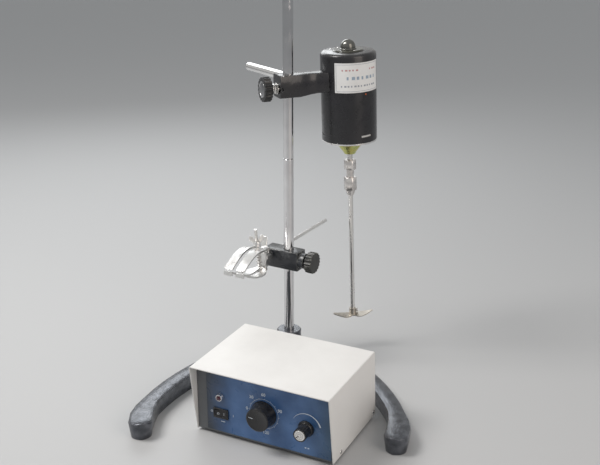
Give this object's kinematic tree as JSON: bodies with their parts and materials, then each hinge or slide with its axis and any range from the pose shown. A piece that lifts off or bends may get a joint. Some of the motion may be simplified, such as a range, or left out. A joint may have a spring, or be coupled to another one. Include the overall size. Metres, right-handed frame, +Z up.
{
  "type": "electric lab stirrer",
  "caption": "Electric lab stirrer: a motor with a bladed stirring rod, held by a bracket on a rod stand with a curved base and flask clamp, and its control box with timer and speed knobs.",
  "frame": {"origin": "where the stand rod's axis meets the table, on the underside of the base's hub", "axes": "+Z up along the stand rod; the control box's panel faces -Y; +X towards the box's speed knob side"},
  "size_m": [0.3716, 0.469, 0.65],
  "materials": {
    "black_enamel": "glossy black enamel",
    "black_plastic": "black moulded plastic",
    "black_rubber": "black rubber",
    "blue_printed_plate": "printed mottled blue face, satin",
    "bright_steel": "turned bright steel",
    "chrome": "bright chrome plate",
    "circuit_board": "green circuit board",
    "copper": "copper",
    "dark_red_lens": "clear dark red plastic",
    "grey_painted_sheet": "grey painted sheet",
    "hammered_grey_enamel": "iron casting in hammered grey enamel",
    "laminated_iron": "varnished iron laminations",
    "nickel_plate": "satin nickel plate",
    "white_powder_coat": "white powder coat",
    "yellow_plated_steel": "steel with yellow passivate"
  },
  "bodies": {
    "stand_and_control_box": {"base_casting": "hammered_grey_enamel", "base_lock_screw": "bright_steel", "stand_rod_lower": "chrome", "stand_rod_upper": "chrome", "box_cover": "white_powder_coat", "box_chassis": "grey_painted_sheet", "front_plate": "blue_printed_plate", "rubber_foot_front_left": "black_rubber", "rubber_foot_front_right": "black_rubber", "rubber_foot_back_left": "black_rubber", "rubber_foot_back_right": "black_rubber", "lamp_bezel": "chrome", "lamp_lens": "dark_red_lens", "switch_frame": "black_plastic", "timer_body": "bright_steel", "speed_control_body": "bright_steel", "circuit_board": "circuit_board", "transformer": "laminated_iron", "mains_cord_gland": "black_plastic", "fuse_holder": "black_plastic", "motor_lead_socket": "nickel_plate"},
    "bracket_and_motor": {"motor_bracket": "black_enamel", "grip_bar": "bright_steel", "motor_casing": "black_enamel", "motor_top_disc": "black_enamel", "motor_dome_cap": "hammered_grey_enamel", "motor_end_plate": "bright_steel", "bearing_housing": "yellow_plated_steel", "lower_bearing": "bright_steel", "upper_bearing": "bright_steel", "field_magnet_ring": "laminated_iron", "brush_ring": "black_plastic"},
    "bracket_lock": {"bracket_lock_knob": "black_plastic", "bracket_lock_stud": "bright_steel", "bracket_lock_knob_cap": "chrome"},
    "spindle": {"armature": "laminated_iron", "commutator": "copper", "motor_shaft": "bright_steel", "chuck_body": "bright_steel", "chuck_nut": "bright_steel", "stirring_rod": "bright_steel", "stirrer_blade": "bright_steel", "blade_set_screw": "bright_steel"},
    "boss": {"boss_head": "black_enamel"},
    "boss_lock": {"boss_lock_knob": "black_plastic", "boss_lock_stud": "bright_steel"},
    "thumb_screw": {"clamp_rod_screw": "nickel_plate"},
    "clamp": {"clamp_rod": "bright_steel", "fixed_jaw": "nickel_plate", "jaw_pivot_pin": "bright_steel", "jaw_bolt": "bright_steel", "jaw_spring": "bright_steel"},
    "upper_jaw": {"hinged_jaw": "nickel_plate"},
    "wing_nut": {"jaw_wing_nut": "nickel_plate"},
    "timer_dial": {"timer_knob": "black_plastic", "timer_spindle": "bright_steel"},
    "speed_dial": {"speed_knob": "black_plastic", "speed_knob_cap": "nickel_plate", "speed_spindle": "bright_steel"},
    "power_switch": {"switch_rocker": "black_plastic"}
  },
  "joints": [
    {"name": "bracket_height", "type": "slide", "parent": "stand_and_control_box", "child": "bracket_and_motor", "axis": [0, 0, 1], "range_m": [-0.045, 0.2]},
    {"name": "bracket_lock_knob_turn", "type": "hinge", "parent": "bracket_and_motor", "child": "bracket_lock", "pos_m": [-0.01104, -0.01226, 0.4195], "axis": [-0.6691, -0.7431, 0], "range_deg": [0, 360]},
    {"name": "spindle_spin", "type": "hinge", "parent": "bracket_and_motor", "child": "spindle", "pos_m": [0.07169, 0.07963, 0.05477], "axis": [-0.0257, -0.0285, 0.9993], "continuous": true},
    {"name": "boss_height", "type": "slide", "parent": "stand_and_control_box", "child": "boss", "axis": [0, 0, 1], "range_m": [-0.045, 0.15]},
    {"name": "boss_lock_knob_turn", "type": "hinge", "parent": "boss", "child": "boss_lock", "pos_m": [0.02994, -0.00183, 0.163], "axis": [0.9981, -0.061, 0], "range_deg": [0, 360]},
    {"name": "clamp_rod_screw_turn", "type": "hinge", "parent": "boss", "child": "thumb_screw", "pos_m": [-0.03593, 0.0022, 0.17], "axis": [-0.9981, 0.061, 0], "range_deg": [0, 360]},
    {"name": "clamp_rod_slide", "type": "slide", "parent": "boss", "child": "clamp", "axis": [-0.061, -0.9981, 0], "range_m": [0, 0.12]},
    {"name": "jaw_hinge", "type": "hinge", "parent": "clamp", "child": "upper_jaw", "pos_m": [-0.02619, -0.02845, 0.181], "axis": [-0.9981, 0.061, 0], "range_deg": [0, 20]},
    {"name": "wing_nut_travel", "type": "slide", "parent": "clamp", "child": "wing_nut", "axis": [-0.0106, -0.1733, 0.9848], "range_m": [0, 0.0125]},
    {"name": "timer_knob_turn", "type": "hinge", "parent": "stand_and_control_box", "child": "timer_dial", "pos_m": [0.0885, -0.2455, 0.05], "axis": [0, 1, 0], "range_deg": [0, 300]},
    {"name": "speed_knob_turn", "type": "hinge", "parent": "stand_and_control_box", "child": "speed_dial", "pos_m": [0.149, -0.25725, 0.045], "axis": [0, 1, 0], "range_deg": [0, 280]},
    {"name": "power_rocker", "type": "hinge", "parent": "stand_and_control_box", "child": "power_switch", "pos_m": [0.025, -0.2425, 0.0345], "axis": [0, 0, 1], "range_deg": [-18, 0]}
  ],
  "couplings": [
    {"joint": "wing_nut_travel", "follows": "jaw_hinge", "m_per_rad": 0.034}
  ]
}
